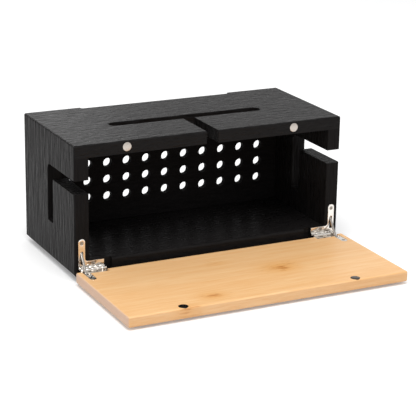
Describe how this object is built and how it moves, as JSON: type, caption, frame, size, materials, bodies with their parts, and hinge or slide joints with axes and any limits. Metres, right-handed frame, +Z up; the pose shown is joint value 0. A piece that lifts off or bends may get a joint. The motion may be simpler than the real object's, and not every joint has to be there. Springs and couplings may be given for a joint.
{
  "type": "cable management box",
  "caption": "Low wooden box that hides a power strip: slotted top and sides for cords, perforated back, and a drop-down front door on double-jointed stay hinges with magnetic catches.",
  "frame": {"origin": "middle of the whole footprint with the door open, on the surface that the feet stand on", "axes": "+X to the right along the box's width, +Y from the open door to the back of the box, +Z up"},
  "size_m": [0.3248, 0.2964, 0.1498],
  "materials": {
    "black_wood": "black stain and satin lacquer over visible grain",
    "bamboo": "clear satin lacquer",
    "dowel_wood": "raw beech",
    "nickel": "nickel plated, satin",
    "screw_steel": "zinc plated",
    "magnet_plating": "nickel plated",
    "strike_steel": "plain steel",
    "foot_rubber": "moulded black rubber"
  },
  "bodies": {
    "carcass": {"top_panel": "black_wood", "bottom_panel": "black_wood", "left_side_panel": "black_wood", "right_side_panel": "black_wood", "back_panel": "black_wood", "top_dowels": "dowel_wood", "bottom_dowels": "dowel_wood", "feet": "foot_rubber", "left_magnet": "magnet_plating", "right_magnet": "magnet_plating", "left_body_leaf": "nickel", "right_body_leaf": "nickel", "left_body_pin": "nickel", "right_body_pin": "nickel", "body_leaf_screws": "screw_steel"},
    "left_link": {"left_hinge_link": "nickel"},
    "right_link": {"right_hinge_link": "nickel"},
    "door": {"door_panel": "bamboo", "left_door_leaf": "nickel", "right_door_leaf": "nickel", "left_door_pin": "nickel", "right_door_pin": "nickel", "left_stay_pin": "nickel", "right_stay_pin": "nickel", "left_strike_plate": "strike_steel", "right_strike_plate": "strike_steel", "door_leaf_screws": "screw_steel"},
    "left_stay": {"left_stay": "nickel"},
    "right_stay": {"right_stay": "nickel"}
  },
  "joints": [
    {"name": "left_link_swing", "type": "hinge", "parent": "carcass", "child": "left_link", "pos_m": [-0.1414, -0.00275, 0.01506], "axis": [1, 0, 0], "range_deg": [0, 90]},
    {"name": "right_link_swing", "type": "hinge", "parent": "carcass", "child": "right_link", "pos_m": [0.1414, -0.00275, 0.01506], "axis": [1, 0, 0], "range_deg": [0, 90]},
    {"name": "door_fold", "type": "hinge", "parent": "left_link", "child": "door", "pos_m": [-0.1414, -0.00855, 0.01506], "axis": [-1, 0, 0], "range_deg": [0, 180]},
    {"name": "left_stay_swing", "type": "hinge", "parent": "door", "child": "left_stay", "pos_m": [-0.15215, -0.01535, 0.01101], "axis": [1, 0, 0], "range_deg": [0, 85.1]},
    {"name": "right_stay_swing", "type": "hinge", "parent": "door", "child": "right_stay", "pos_m": [0.15215, -0.01535, 0.01101], "axis": [1, 0, 0], "range_deg": [0, 85.1]}
  ],
  "couplings": [
    {"joint": "left_link_swing", "follows": "door_fold", "ratio": 0.5},
    {"joint": "right_link_swing", "follows": "door_fold", "ratio": 0.5},
    {"joint": "left_stay_swing", "follows": "door_fold", "ratio": 0.47266},
    {"joint": "right_stay_swing", "follows": "door_fold", "ratio": 0.47266}
  ]
}
